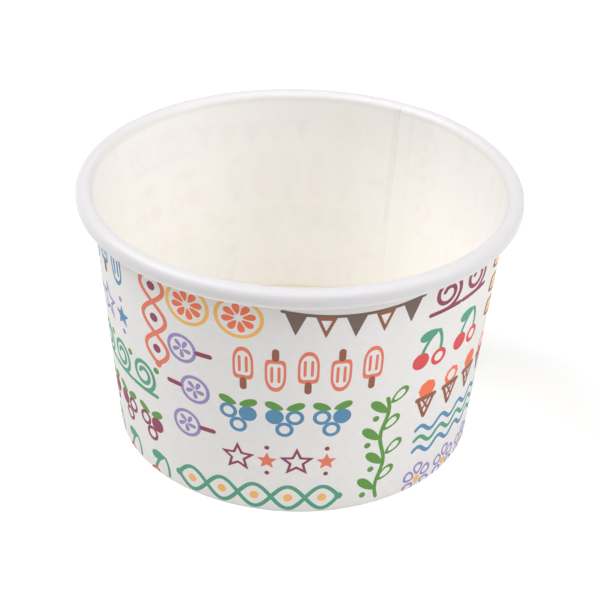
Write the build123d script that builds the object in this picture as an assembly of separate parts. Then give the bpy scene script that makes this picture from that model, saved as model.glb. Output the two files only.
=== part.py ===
"""Paper dessert cup: a rolled paper side wall and the base disc pinched in its foot.

Lengths are in millimetres. The cup stands on z = 0 with its axis on Z, and its front is -Y.
"""
import os
from math import asin, atan2, cos, degrees, hypot, radians, sin, sqrt, tan

from build123d import *

# Overall sizes
RIM_DIAMETER = 85.0      # across the outside of the rolled rim
FOOT_DIAMETER = 70.4     # outside of the wall where its line meets the table
CUP_HEIGHT = 52.2        # table to the top of the rolled rim
BOARD = 0.35             # thickness of the coated paperboard

# Rolled rim
ROLL_WIDTH = 3.2         # across the roll, from the inside of the wall to the rim's edge
ROLL_HEIGHT = 3.65       # top to bottom of the roll
ROLL_GAP = 0.05          # air between one turn of the roll and the next
ROLL_TUCK = 0.65         # length of the edge that stands up inside the roll

# Foot
BASE_HEIGHT = 7.5        # table to the upper face of the base disc
HEM_HEIGHT = 5.5         # length of the turned-up hem, along the wall
SEAL = 0.02              # coating melted between two plies

# Side seam
SEAM_AZIMUTH = 59.0      # degrees from +X to the cut edge that shows inside
SEAM_LAP = 6.0           # width of the overlap
SEAM_STEP = 0.22         # step at the cut edge, after the press has flattened it
SEAM_RAMP = 1.6          # run over which the outer ply comes down to the mandrel
SEAM_FOOT = 0.6          # table to the lower end of the raised lap

# The wall's lean: its printed face starts at the foot and touches the roll's inner circle
rim_radius = RIM_DIAMETER / 2
foot_radius = FOOT_DIAMETER / 2
roll_radius = ROLL_WIDTH / 2
roll_centre_r = rim_radius - roll_radius
roll_centre_z = CUP_HEIGHT - roll_radius
roll_inside = roll_radius - BOARD
reach = hypot(roll_centre_r - foot_radius, roll_centre_z)
wall_slant = sqrt(reach**2 - roll_inside**2)
lean = atan2(roll_centre_r - foot_radius, roll_centre_z) - asin(roll_inside / reach)
lean_degrees = degrees(lean)
up_wall = Vector(sin(lean), cos(lean))
into_cup = Vector(-cos(lean), sin(lean))

# The rest of the roll
roll_wall_radius = foot_radius + roll_centre_z * tan(lean)
lower_radius = (rim_radius - roll_wall_radius - ROLL_GAP) / 2
roll_drop = ROLL_HEIGHT - roll_radius - lower_radius

# The foot's folds and the base's edge, creased sharp on the inside
CREASE = 0
plies = 3 * BOARD + 2 * SEAL
land_length = (plies - 2 * BOARD) / cos(lean)
hem_turn = 90 + lean_degrees
wall_turn = 90 - lean_degrees
hem_corner = BOARD * tan(radians(hem_turn) / 2)
wall_corner = BOARD * tan(radians(wall_turn) / 2)


def face_radius(z, depth=0.0):
    """Radius at height z of the surface that lies depth under the wall's printed face."""
    return foot_radius + z * tan(lean) - depth / cos(lean)


def trace_side(start, heading, steps, on_left):
    """Edges of one side of a sheet that runs straight and bends.

    A step is (length, 0) for a straight run, or (inside radius, degrees) for a bend,
    with left bends positive. A crease has no inside radius, so it adds no edge there.
    """
    edges = []
    point = Vector(start)
    for size, turn in steps:
        if turn == 0:
            edge = Line(point, point + heading * size)
        else:
            inner_side = (turn > 0) == on_left
            radius = size if inner_side else size + BOARD
            if radius == CREASE:
                heading = heading.rotate(Axis.Z, turn)
                continue
            edge = JernArc(point, heading, radius, turn)
        edges.append(edge)
        point = edge @ 1
        heading = edge % 1
    return edges


def sheet_section(left_start, heading, steps):
    """Closed section of a sheet of BOARD thickness, given where its left side starts."""
    rightward = heading.rotate(Axis.Z, -90)
    left = trace_side(left_start, heading, steps, True)
    right = trace_side(left_start + rightward * BOARD, heading, steps, False)
    start_cap = Line(left[0] @ 0, right[0] @ 0)
    end_cap = Line(left[-1] @ 1, right[-1] @ 1)
    return make_face([*left, end_cap, *right, start_cap])


def turned(section):
    """Solid of a section drawn in the radius and height plane, carried round the axis."""
    return revolve(Plane.XZ * section, Axis.Z, 360)


def wall_section():
    """Hem, two folds under the foot, the wall and the roll, as one sheet."""
    hem_line = Vector(foot_radius - plies / cos(lean), 0)
    hem_edge = hem_line + up_wall * HEM_HEIGHT - into_cup * BOARD
    steps = [
        (HEM_HEIGHT - hem_corner, 0),
        (CREASE, hem_turn),
        (land_length, 0),
        (CREASE, wall_turn),
        (wall_slant - wall_corner, 0),
        (roll_inside, lean_degrees - 180),
        (roll_drop, 0),
        (lower_radius - BOARD, -180),
        (ROLL_TUCK, 0),
    ]
    return sheet_section(hem_edge, up_wall * -1, steps)


def plan_point(radius, angle):
    """Point of a plan drawing at a radius and an angle in degrees."""
    return Vector(radius, 0).rotate(Axis.Z, angle)


def plan_arc(radius, start, end):
    """Arc about the axis between two angles in degrees."""
    return CenterArc((0, 0), radius, start, end - start)


def seam_angle(width, z):
    """Degrees that a width takes up round the wall at height z."""
    return degrees(width / face_radius(z))


def lap_plan(z):
    """Plan of the raised outer ply at height z: flat over the lap, then down its ramp."""
    skin = face_radius(z)
    sunk = face_radius(z, BOARD / 2)
    raised = face_radius(z, -BOARD)
    cut = SEAM_AZIMUTH - seam_angle(SEAM_LAP, z)
    ramp_end = SEAM_AZIMUTH + seam_angle(SEAM_RAMP, z) * (raised - sunk) / (raised - skin)
    edges = [
        Line(plan_point(sunk, cut), plan_point(raised, cut)),
        plan_arc(raised, cut, SEAM_AZIMUTH),
        Line(plan_point(raised, SEAM_AZIMUTH), plan_point(sunk, ramp_end)),
        plan_arc(sunk, cut, ramp_end),
    ]
    return Pos(0, 0, z) * make_face(edges)


def groove_plan(z):
    """Plan of the groove beside the inner ply's cut edge at height z."""
    deep = face_radius(z, BOARD - SEAM_STEP)
    flush = face_radius(z, BOARD)
    clear = face_radius(z, BOARD + SEAM_STEP)
    ramp_end = SEAM_AZIMUTH + seam_angle(SEAM_RAMP, z) * (deep - clear) / (deep - flush)
    corners = [
        plan_point(clear, SEAM_AZIMUTH),
        plan_point(deep, SEAM_AZIMUTH),
        plan_point(clear, ramp_end),
    ]
    return Pos(0, 0, z) * make_face(Polyline(*corners, close=True))


def between(plan, low, high):
    """Straight-sided solid between the plans at two heights."""
    return loft([plan(low), plan(high)], ruled=True)


def make_side_wall():
    """The printed sheet: rolled up, lapped at the seam, rolled at the rim, folded at the foot."""
    wall = turned(wall_section())
    lap_top = CUP_HEIGHT - ROLL_HEIGHT - ROLL_GAP
    wall += between(lap_plan, SEAM_FOOT, lap_top)
    wall -= between(groove_plan, BASE_HEIGHT, wall_slant * cos(lean))
    return wall


def make_base_disc():
    """The base: a flat disc whose edge turns down between the wall and the hem."""
    skirt_line = foot_radius - (BOARD + SEAL) / cos(lean)
    corner_r = skirt_line + BASE_HEIGHT * tan(lean)
    skirt_foot = (BOARD + SEAL) / cos(lean)
    skirt = BASE_HEIGHT / cos(lean) - hem_corner - skirt_foot
    steps = [
        (corner_r - hem_corner, 0),
        (CREASE, -hem_turn),
        (skirt, 0),
    ]
    return turned(sheet_section(Vector(0, BASE_HEIGHT), Vector(1, 0), steps))


os.makedirs("parts", exist_ok=True)
export_step(make_side_wall(), "parts/side_wall.step")
export_step(make_base_disc(), "parts/base_disc.step")
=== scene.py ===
"""Looks of a paper dessert cup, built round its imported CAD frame.

The classes hold their sizes in millimetres and degrees, and the meshes are in metres. The cup
stands on z = 0 with its axis on Z, its front is -Y, and its lapped seam is at the back right.
"""

import logging
import math
from dataclasses import dataclass, field
from enum import Enum
from typing import Callable, NamedTuple

import bpy
import numpy as np
from mathutils import Matrix, Vector


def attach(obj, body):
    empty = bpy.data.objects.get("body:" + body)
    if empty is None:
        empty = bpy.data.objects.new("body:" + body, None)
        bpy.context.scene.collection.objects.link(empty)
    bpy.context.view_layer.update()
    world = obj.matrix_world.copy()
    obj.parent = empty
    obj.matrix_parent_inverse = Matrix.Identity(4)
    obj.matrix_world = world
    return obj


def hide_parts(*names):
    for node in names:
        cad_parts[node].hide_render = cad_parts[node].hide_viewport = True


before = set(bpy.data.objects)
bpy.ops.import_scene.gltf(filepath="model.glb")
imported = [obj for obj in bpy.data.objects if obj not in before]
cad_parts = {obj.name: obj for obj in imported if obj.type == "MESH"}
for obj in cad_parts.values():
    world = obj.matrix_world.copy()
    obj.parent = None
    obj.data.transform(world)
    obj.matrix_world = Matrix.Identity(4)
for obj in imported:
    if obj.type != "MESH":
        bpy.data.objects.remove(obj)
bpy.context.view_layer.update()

Array = np.ndarray
Socket = bpy.types.NodeSocket
Chip = tuple[int, int, int]
Colour = tuple[float, float, float, float]

LOG = logging.getLogger("dessert_cup")
MM = 0.001
ROUNDING = 1e-9

# Attributes that the wall's mesh keeps at its points
# painted shade in the seam's step and a painted highlight on its cut edge, with soft dark lines over the
# lap
SEAM_PAINTED_LIGHT = "seam_painted_light"
# share of the rim's darker colour, a painted shade of the roll; it also sets the coat there
ROLL_SHADE_AND_COAT = "roll_shade_and_coat"
# print seen on the food side: partly the ink through the board, partly painted shade where the ink stops
# light passing through the wall
SHOW_THROUGH = "show_through"

# Places of some runs in the wall's section, and of the fold in the base's
WALL_RUN, ROLL_RUN, UNDER_RUN = 4, 5, 7
BASE_FOLD = 1

# Degrees between two faces above which their edge shades sharp
BOARD_CREASE = 38.0
INK_CREASE = 50.0

# Degrees of a quarter turn at which a stroke's round end has its points
CAP_SWEEP = (8.0, 26.0, 46.0, 68.0)

# Colour sockets of a Mix node
FIRST, SECOND, MIXED = 6, 7, 2

# Sizes in the finishes, in millimetres, and their shares
CLOUD_MM, SPECK_MM, TOOTH_MM, WAVE_MM, MOTTLE_MM = 1.3, 0.45, 0.16, 5.0, 0.5
WAVE_DEPTH_MM, INK_DEPTH_MM = 0.06, 0.02
PAPER_GLOSS = 0.35
COAT_ROUGHNESS = 0.34
ROLL_COAT = 6.0
SPECK_BROWN: Chip = (176, 160, 140)
# dark lines along the seam: painted shade in the step, and soft dark lines over the lap
SEAM_BROWN: Chip = (158, 134, 106)
# white of the painted highlight on the seam's cut edge
EDGE_HIGHLIGHT_WHITE: Chip = (255, 255, 255)

SENSOR_MM = 36.0


def smooth_step(x: Array) -> Array:
    """Ramp from 0 to 1 that leaves and arrives level: 3t^2 - 2t^3 of x held between 0 and 1."""
    t = np.clip(x, 0.0, 1.0)
    return t * t * (3.0 - 2.0 * t)


def wrap_degrees(angle: Array) -> Array:
    """Angle brought to between -180 and 180 degrees."""
    return (np.asarray(angle) + 180.0) % 360.0 - 180.0


def linear(rgb: Chip) -> Colour:
    """Scene-linear colour of an sRGB colour in steps of 0 to 255, by the sRGB curve.

    Args:
        rgb: red, green and blue as a paint chart gives them.

    Returns:
        Linear red, green and blue, and an alpha of 1.
    """
    c = np.asarray(rgb, float) / 255.0
    value = np.where(c <= 0.04045, c / 12.92, ((c + 0.055) / 1.055) ** 2.4)
    return (*value.tolist(), 1.0)


def gap_to(spots: Array, path: Array) -> Array:
    """Distance from each place to the nearest point of a path."""
    return np.sqrt(((spots[..., None, :] - path) ** 2).sum(-1).min(-1))


def depth_inside(spots: Array, outline: Array) -> Array:
    """How far places lie inside a closed outline.

    A place is inside where a level line from it crosses the outline an odd number of times.

    Args:
        spots: places, with x and y on the last axis.
        outline: n by 2 points round the outline.

    Returns:
        Distance to the outline, negative outside it.
    """
    x, y = spots[..., 0, None], spots[..., 1, None]
    (x0, y0), (x1, y1) = outline.T, np.roll(outline, -1, 0).T
    slope = (x1 - x0) / np.where(y1 == y0, 1.0, y1 - y0)
    crossed = ((y0 > y) != (y1 > y)) & (x < x0 + (y - y0) * slope)
    return np.where(crossed.sum(-1) % 2 == 1, 1.0, -1.0) * gap_to(spots, outline)


def new_piece(name: str, verts: Array, faces: list[list[int]], crease: float) -> bpy.types.Object:
    """Object at the origin from points in millimetres.

    Args:
        name: the piece's name.
        verts: n by 3 points, in millimetres.
        faces: corner numbers of each face, anticlockwise seen from outside.
        crease: degrees between two faces above which their edge shades sharp.

    Returns:
        The linked object, shaded smooth but for its sharp edges.
    """
    mesh = bpy.data.meshes.new(name)
    mesh.from_pydata((verts * MM).tolist(), [], faces)
    mesh.polygons.foreach_set("use_smooth", np.ones(len(mesh.polygons), bool))
    mesh.set_sharp_from_angle(angle=math.radians(crease))
    mesh.update()
    piece = bpy.data.objects.new(name, mesh)
    bpy.context.scene.collection.objects.link(piece)
    return piece


class Bell(NamedTuple):
    """A bell curve.

    Attributes:
        height: its value in the middle.
        middle: where that is.
        width: distance from there at which it has fallen to the height over e.
    """

    height: float
    middle: float
    width: float

    def at(self, x: Array) -> Array:
        """Height times e to the minus square of the distance from the middle, in widths."""
        return self.height * np.exp(-(((x - self.middle) / self.width) ** 2))

    def around(self, azimuth: Array) -> Array:
        """The same of azimuths in degrees, with the distance taken the shorter way round."""
        return self.height * np.exp(-((wrap_degrees(azimuth - self.middle) / self.width) ** 2))


class Start(NamedTuple):
    """Where a run of a section starts.

    Attributes:
        r: radius.
        z: height.
        angle: heading in radians, from the outward radius.
        s: distance along the printed side.
    """

    r: float
    z: float
    angle: float
    s: float


@dataclass(frozen=True)
class Run:
    """One stretch of a folded sheet, straight or bent.

    Attributes:
        size: a straight run's length, or the radius of the printed side in a bend.
        turn: degrees the sheet turns, left positive, and 0 where it is straight.
        samples: how many steps the mesh takes along it.
    """

    size: float
    turn: float
    samples: int

    @property
    def length(self) -> float:
        """Length along the printed side."""
        return self.size if self.turn == 0 else self.size * abs(math.radians(self.turn))


class Section:
    """Section of a folded sheet, in radius and height, measured along its printed side."""

    def __init__(self, start: tuple[float, float], heading: float, runs: list[Run]) -> None:
        """Walk the runs once, to know where each one starts.

        Args:
            start: radius and height of the printed side's first point.
            heading: degrees from the outward radius that the sheet sets off at.
            runs: the stretches in order.
        """
        self.runs = runs
        self.starts: list[Start] = []
        r, z = start
        angle, travelled = math.radians(heading), 0.0
        for run in runs:
            self.starts.append(Start(r, z, angle, travelled))
            step_r, step_z, angle = self._advance(run, angle, np.array(run.length))
            r, z, angle = r + float(step_r), z + float(step_z), float(angle)
            travelled += run.length
        self.length = travelled

    @staticmethod
    def _advance(run: Run, angle: float, along: Array) -> tuple[Array, Array, Array]:
        """Shift and new heading after going some way along a run.

        A bend of radius R turns by along / R, and its chord is the integral of the heading.

        Args:
            run: the stretch.
            angle: heading at its start, in radians.
            along: distances along it.

        Returns:
            Shift in radius, shift in height and heading, at each distance.
        """
        if run.turn == 0:
            return along * math.cos(angle), along * math.sin(angle), angle + 0.0 * along
        hand = math.copysign(run.size, run.turn)
        heading = angle + along / hand
        return (
            hand * (np.sin(heading) - math.sin(angle)),
            hand * (math.cos(angle) - np.cos(heading)),
            heading,
        )

    def samples(self, steps: dict[int, int] | None = None) -> Array:
        """Distances along the printed side at which the mesh has its points.

        Args:
            steps: other numbers of steps for some runs, by their place in the section.

        Returns:
            Rising distances, from 0 to the section's length.
        """
        counts = [(steps or {}).get(i, run.samples) for i, run in enumerate(self.runs)]
        parts = [
            start.s + run.length * np.arange(n) / n
            for run, start, n in zip(self.runs, self.starts, counts)
        ]
        return np.concatenate([*parts, [self.length]])

    def printed(self, s: Array) -> tuple[Array, Array, Array, Array]:
        """Points of the printed side and the way it faces.

        Args:
            s: distances along the printed side.

        Returns:
            Radius, height, and the radius and height parts of the outward normal, which is
            the heading turned a quarter right.
        """
        s = np.clip(s, 0.0, self.length)
        r, z, angle = np.zeros_like(s), np.zeros_like(s), np.zeros_like(s)
        for run, start in zip(self.runs, self.starts):
            here = s >= start.s - ROUNDING
            step_r, step_z, heading = self._advance(run, start.angle, s[here] - start.s)
            r[here], z[here], angle[here] = start.r + step_r, start.z + step_z, heading
        return r, z, np.sin(angle), -np.cos(angle)


@dataclass(frozen=True)
class SeamMarks:
    """Marks along the seam on the food side: dents in the board, painted shade and a painted highlight at
    the step, and soft dark lines over the lap.

    The bells run across the seam, in degrees from the inner ply's cut edge. The heights of the
    first three are depths in millimetres, and the others' are shares of the seam's dark colour and of the
    painted highlight's white.

    Attributes:
        press: faint groove of the press over the lap.
        ply_edge: hollow beyond the outer ply's cut edge, in degrees from that edge.
        burr: fibres that stand up on the inner ply's cut edge.
        cut: fine dark line in the step, a painted shade.
        pale: light line on the cut edge, a painted highlight.
        lap_line: soft dark line over the lap, by the press line.
        streaks: weaker ones beyond it.
        ply_turn: degrees over which the hollow stops at the outer ply's edge.
        dark_from: height up the wall from which the dark lines get stronger.
        dark_over: height over which they do.
        pale_from: height up the wall from which the pale line comes in.
        pale_over: height over which it does.
        end_over: length over which the lines end on the roll.
        roll_share: share of the step that is left over the roll.
    """

    press: Bell = Bell(0.02, -4.2, 0.4)
    ply_edge: Bell = Bell(0.045, 0.0, 2.5)
    burr: Bell = Bell(0.04, -0.15, 0.35)
    cut: Bell = Bell(1.0, 0.12, 0.2)
    pale: Bell = Bell(1.0, -0.4, 0.22)
    lap_line: Bell = Bell(0.045, -4.6, 0.7)
    streaks: tuple[Bell, Bell] = (Bell(0.02, -7.2, 1.0), Bell(0.02, -10.4, 1.3))
    ply_turn: float = 0.8
    dark_from: float = 26.0
    dark_over: float = 18.0
    pale_from: float = 8.0
    pale_over: float = 12.0
    end_over: float = 1.5
    roll_share: float = 0.5


@dataclass(frozen=True)
class RollShade:
    """How the rim's darker colour, a painted shade of the roll, comes and goes along it, in millimetres.

    Attributes:
        ease: length of the smooth step about the roll's start.
        inner: share of the colour on the roll's inner side, which is left lighter as painted light.
        top_from: distance from the roll's start at which the rest comes in.
        top_over: length over which it comes in.
        under_over: length over which the colour goes on the roll's underside, left lighter as painted
            light from the floor.
    """

    ease: float = 2.0
    inner: float = 0.65
    top_from: float = 0.6
    top_over: float = 1.6
    under_over: float = 0.9


@dataclass
class CupForm:
    """Sizes of the cup and the shape of its folded sheets, in millimetres and degrees.

    Attributes:
        rim_diameter: across the outside of the rolled rim.
        foot_diameter: across the wall's printed side where its line meets the table.
        height: table to the top of the roll.
        board: thickness of the coated board.
        roll_width: across the roll, from the inside of the wall to the rim's edge.
        roll_height: top to bottom of the roll.
        roll_gap: air between one turn of the roll and the next.
        roll_tuck: length of the edge that stands up inside the roll.
        base_height: table to the upper side of the base.
        hem_height: length of the turned-up hem, along the wall.
        crease_radius: inside radius of the folds.
        seal: coating melted between two plies.
        seam_azimuth: from +X to the cut edge that shows inside.
        seam_lap: width of the overlap.
        seam_step: step at the cut edge inside, after the press has flattened it.
        seam_ramp: run over which the outer ply comes down to the mandrel.
        cut_degrees: part of a turn that the flank of a cut edge takes.
        lap_foot: distance up the wall at which the lap starts to stand out.
        lap_top: distance under the wall's upper end at which it starts to sink.
        base_edge: distance under the base's upper side at which the seam's marks start.
        fade: length over which the lap and the marks come in.
        rim_bulge: bell round the rim by which it is out of round, outwards.
        rim_hollow: the one beside it, inwards.
        marks: the seam's marks on the food side.
        tone: how the rim's colour, a painted shade of the roll, comes and goes.
    """

    rim_diameter: float = 85.0
    foot_diameter: float = 70.4
    height: float = 52.2
    board: float = 0.35
    roll_width: float = 3.2
    roll_height: float = 3.65
    roll_gap: float = 0.05
    roll_tuck: float = 0.65
    base_height: float = 7.5
    hem_height: float = 5.5
    crease_radius: float = 0.05
    seal: float = 0.02
    seam_azimuth: float = 59.0
    seam_lap: float = 6.0
    seam_step: float = 0.22
    seam_ramp: float = 1.6
    cut_degrees: float = 0.04
    lap_foot: float = 0.5
    lap_top: float = 3.0
    base_edge: float = 0.6
    fade: float = 0.5
    rim_bulge: Bell = Bell(0.25, 46.0, 14.0)
    rim_hollow: Bell = Bell(0.18, 97.0, 13.0)
    marks: SeamMarks = SeamMarks()
    tone: RollShade = RollShade()

    def __post_init__(self) -> None:
        """Work out the wall's lean and the sheet's runs from the sizes."""
        foot = self.foot_diameter / 2
        roll = self.roll_width / 2
        rise, out = self.height - roll, self.rim_diameter / 2 - roll - foot
        reach = math.hypot(rise, out)
        self.foot_radius = foot
        self.wall_slant = math.sqrt(reach**2 - (roll - self.board) ** 2)
        self.lean = math.atan2(out, rise) - math.asin((roll - self.board) / reach)
        self.middle_radius = foot + self.height / 2 * math.tan(self.lean)
        self.fold_outside = self.crease_radius + self.board
        self.hem_turn = 90.0 + math.degrees(self.lean)
        self.wall_turn = 90.0 - math.degrees(self.lean)
        self.wall = self._wall_section(roll)
        self.wall_zero = self.wall.starts[WALL_RUN].s - self._corner(self.wall_turn)
        self.roll_start = self.wall.starts[ROLL_RUN].s
        self.under_roll = self.wall.starts[UNDER_RUN].s

    def _corner(self, turn: float) -> float:
        """Length that a fold of some degrees takes from each side of its sharp corner."""
        return self.fold_outside * math.tan(math.radians(turn) / 2)

    def _wall_section(self, roll: float) -> Section:
        """Hem, folds, wall and roll as one sheet.

        Args:
            roll: the roll's upper radius.

        Returns:
            The section, from the hem's free edge to the edge tucked into the roll.
        """
        plies = (3 * self.board + 2 * self.seal) / math.cos(self.lean)
        land = plies - 2 * self.fold_outside / math.cos(self.lean)
        hem = self.foot_radius - plies
        wall_there = self.foot_radius + (self.height - roll) * math.tan(self.lean)
        lower = (self.rim_diameter / 2 - wall_there - self.roll_gap) / 2
        drop = self.roll_height - roll - lower
        start = (
            hem + self.hem_height * math.sin(self.lean),
            self.hem_height * math.cos(self.lean),
        )
        runs = [
            Run(self.hem_height - self._corner(self.hem_turn), 0, 4),
            Run(self.fold_outside, self.hem_turn, 6),
            Run(land, 0, 2),
            Run(self.fold_outside, self.wall_turn, 6),
            Run(self.wall_slant - self._corner(self.wall_turn), 0, 26),
            Run(roll - self.board, math.degrees(self.lean) - 180, 26),
            Run(drop, 0, 2),
            Run(lower - self.board, -180, 14),
            Run(self.roll_tuck, 0, 2),
        ]
        return Section(start, -self.wall_turn - 2 * math.degrees(self.lean), runs)

    def base_section(self) -> Section:
        """Base disc with its edge turned down, as one sheet.

        Returns:
            The section, from the disc's middle to the lower edge of its skirt.
        """
        wall_gap = (self.board + self.seal) / math.cos(self.lean)
        corner = self.foot_radius - wall_gap + self.base_height * math.tan(self.lean)
        taken = self._corner(self.hem_turn)
        stop = (self.board + self.seal + self.crease_radius) / math.cos(self.lean)
        runs = [
            Run(corner - taken, 0, 40),
            Run(self.crease_radius, -self.hem_turn, 7),
            Run(self.base_height / math.cos(self.lean) - taken - stop, 0, 6),
        ]
        return Section((0.0, self.base_height - self.board), 0.0, runs)

    def seam_columns(self, count: int) -> Array:
        """Azimuths of the mesh's columns, even all round and close together at the seam.

        Args:
            count: columns in an even turn.

        Returns:
            Azimuths in degrees, rising.
        """
        lap, ramp = self.seam_degrees(self.seam_lap), self.seam_degrees(self.seam_ramp)
        even = np.arange(count) * 360.0 / count
        from_seam = wrap_degrees(even - self.seam_azimuth)
        clear = 0.4
        even = even[(from_seam < -lap - clear) | (from_seam > ramp + clear)]
        outer_edge = np.array([-0.25, -0.03, 0.03, 0.25]) - lap
        over_lap = np.linspace(-lap + 0.8, -0.8, 21)
        inner_edge = [-0.62, -0.47, -0.32, -0.17, -0.03, 0.03, 0.1]
        down_ramp = np.linspace(0.2, ramp + 0.2, 14)
        fine = np.concatenate([outer_edge, over_lap, inner_edge, down_ramp])
        return np.sort(np.concatenate([even, (self.seam_azimuth + fine) % 360.0]))

    def seam_degrees(self, width: float) -> float:
        """Degrees that a width takes up halfway up the wall."""
        return math.degrees(width / self.middle_radius)

    def lapped(self, azimuth: Array) -> Array:
        """Where there are two plies: a cut edge on one side and a smooth ramp on the other.

        Args:
            azimuth: azimuths in degrees.

        Returns:
            1 over the lap and 0 elsewhere.
        """
        d = wrap_degrees(azimuth - self.seam_azimuth)
        over = np.clip((d + self.seam_degrees(self.seam_lap)) / self.cut_degrees + 0.5, 0.0, 1.0)
        return over * (1.0 - smooth_step(d / self.seam_degrees(self.seam_ramp)))

    def lap(self, s: Array, azimuth: Array) -> Array:
        """How far the outer ply stands out at the seam.

        It is one board over the lap, with a cut edge on one side and a smooth ramp down on the
        other, and fades out at the foot's fold and under the roll.

        Args:
            s: distances along the printed side.
            azimuth: azimuths in degrees.

        Returns:
            Rise along the outward normal.
        """
        y = s - self.wall_zero
        foot = smooth_step((y - self.lap_foot) / self.fade)
        roll = 1.0 - smooth_step((y - self.wall_slant + self.lap_top) / self.fade)
        return self.board * self.lapped(azimuth) * foot * roll

    def _above_base(self, y: Array) -> Array:
        """0 under the base and 1 above it, with a smooth step at its edge."""
        return smooth_step((y - self.base_height + self.base_edge) / self.fade)

    def groove(self, s: Array, azimuth: Array) -> Array:
        """How deep the food side lies beside the inner ply's cut edge.

        The step is at the seam and closes along a smooth ramp. It starts above the base and is
        shallower over the roll. A burr stands on the cut edge, a faint press line runs over the
        lap, and the board is hollow beyond the outer ply's edge.

        Args:
            s: distances along the printed side.
            azimuth: azimuths in degrees.

        Returns:
            Depth under the food side.
        """
        marks = self.marks
        d = wrap_degrees(azimuth - self.seam_azimuth)
        from_ply = d + self.seam_degrees(self.seam_lap)
        edge = np.clip(d / self.cut_degrees + 0.5, 0.0, 1.0)
        over_roll = self.rolled(s)
        step = edge * (1.0 - smooth_step(d / self.seam_degrees(self.seam_ramp)))
        step = self.seam_step * step * (1.0 - (1.0 - marks.roll_share) * over_roll)
        ply_edge = marks.ply_edge.at(from_ply) * (1.0 - smooth_step(from_ply / marks.ply_turn + 0.5))
        lines = marks.press.at(d) + ply_edge - marks.burr.at(d) * (1.0 - edge)
        return self._above_base(s - self.wall_zero) * (step + (1.0 - over_roll) * lines)

    def seam_painted_light(self, s: Array, azimuth: Array) -> Array:
        """Painted shade and highlight along the seam, and soft dark lines over the lap.

        Bells across it: a fine dark line in the step, a painted shade broken by two waves along it,
        a light one on the cut edge, a painted highlight, and soft dark ones over the lap. They start
        above the base. As painted light, the dark ones are stronger in the upper half, and the light
        one in the lower. Only the fine line goes on over the roll.

        Args:
            s: distances along the printed side.
            azimuth: azimuths in degrees.

        Returns:
            Share of the seam's dark colour, from 0 to 1, or less than 0 for the painted highlight's white.
        """
        marks = self.marks
        d = wrap_degrees(azimuth - self.seam_azimuth)
        y = s - self.wall_zero
        # painted light and shade: dark lines stronger higher up, the light line lower down
        high = smooth_step((y - marks.dark_from) / marks.dark_over)
        low = smooth_step((y - marks.pale_from) / marks.pale_over)
        broken = 0.75 + 0.25 * np.sin(2.3 * y) * np.sin(0.9 * y + 1.0)
        # painted shade: fine dark line in the step
        cut = (0.05 + 0.2 * high) * broken * marks.cut.at(d)
        # painted highlight: light line on the cut edge
        pale = low * (0.7 - 0.45 * high) * marks.pale.at(d)
        lap_line = (0.35 + 0.65 * high) * marks.lap_line.at(d)
        streaks = high * sum(streak.at(d) for streak in marks.streaks)
        on_wall = 1.0 - smooth_step((s - self.roll_start) / marks.end_over)
        lines = cut * (0.6 + 0.4 * on_wall) + on_wall * (lap_line + streaks - pale)
        return self._above_base(y) * lines

    def rolled(self, s: Array) -> Array:
        """0 on the wall and 1 over the roll, with a smooth step about the roll's start."""
        return smooth_step((s - self.roll_start) / self.tone.ease + 0.5)

    def roll_shade_and_coat(self, s: Array) -> Array:
        """Share of the rim's darker colour along the sheet, a painted shade of the roll that also sets its
        coat.

        One smooth step lies about the roll's start and a second on the way to its top, so the inner side
        is left lighter as painted light.
        A third takes the colour away on the roll's underside, as painted light from the floor.

        Args:
            s: distances along the printed side.

        Returns:
            1 over the top and the outside of the roll, and 0 on the wall.
        """
        tone = self.tone
        top = smooth_step((s - self.roll_start - tone.top_from) / tone.top_over)
        under = smooth_step((s - self.under_roll) / tone.under_over)
        return (tone.inner * self.rolled(s) + (1.0 - tone.inner) * top) * (1.0 - under)

    def place(self, r: Array, z: Array, azimuth: Array) -> Array:
        """Points in space, with the rim a little out of round.

        The radius grows by one bell round the rim and shrinks by another, both as the height
        squared.

        Args:
            r: radii.
            z: heights.
            azimuth: azimuths in degrees.

        Returns:
            Points with x, y and z on the last axis.
        """
        change = self.rim_bulge.around(azimuth) - self.rim_hollow.around(azimuth)
        r = r + (z / self.height) ** 2 * change * np.minimum(r / self.foot_radius, 1.0)
        angle = np.radians(azimuth)
        return np.stack(np.broadcast_arrays(r * np.cos(angle), r * np.sin(angle), z), -1)

    def printed_side(self, s: Array, azimuth: Array, lift: float | Array = 0.0) -> Array:
        """Points on or just over the wall's printed side.

        Args:
            s: distances along the printed side.
            azimuth: azimuths in degrees.
            lift: distance out of the surface.

        Returns:
            Points with x, y and z on the last axis.
        """
        s, azimuth = np.broadcast_arrays(np.asarray(s, float), np.asarray(azimuth, float))
        r, z, out_r, out_z = self.wall.printed(s)
        rise = self.lap(s, azimuth) + lift
        return self.place(r + rise * out_r, z + rise * out_z, azimuth)

    def food_side(self, s: Array, azimuth: Array) -> Array:
        """Points on the wall's food side, one board in from the printed side.

        Args:
            s: distances along the printed side.
            azimuth: azimuths in degrees.

        Returns:
            Points with x, y and z on the last axis.
        """
        s, azimuth = np.broadcast_arrays(np.asarray(s, float), np.asarray(azimuth, float))
        r, z, out_r, out_z = self.wall.printed(s)
        inward = self.board - self.groove(s, azimuth)
        return self.place(r - inward * out_r, z - inward * out_z, azimuth)


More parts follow.
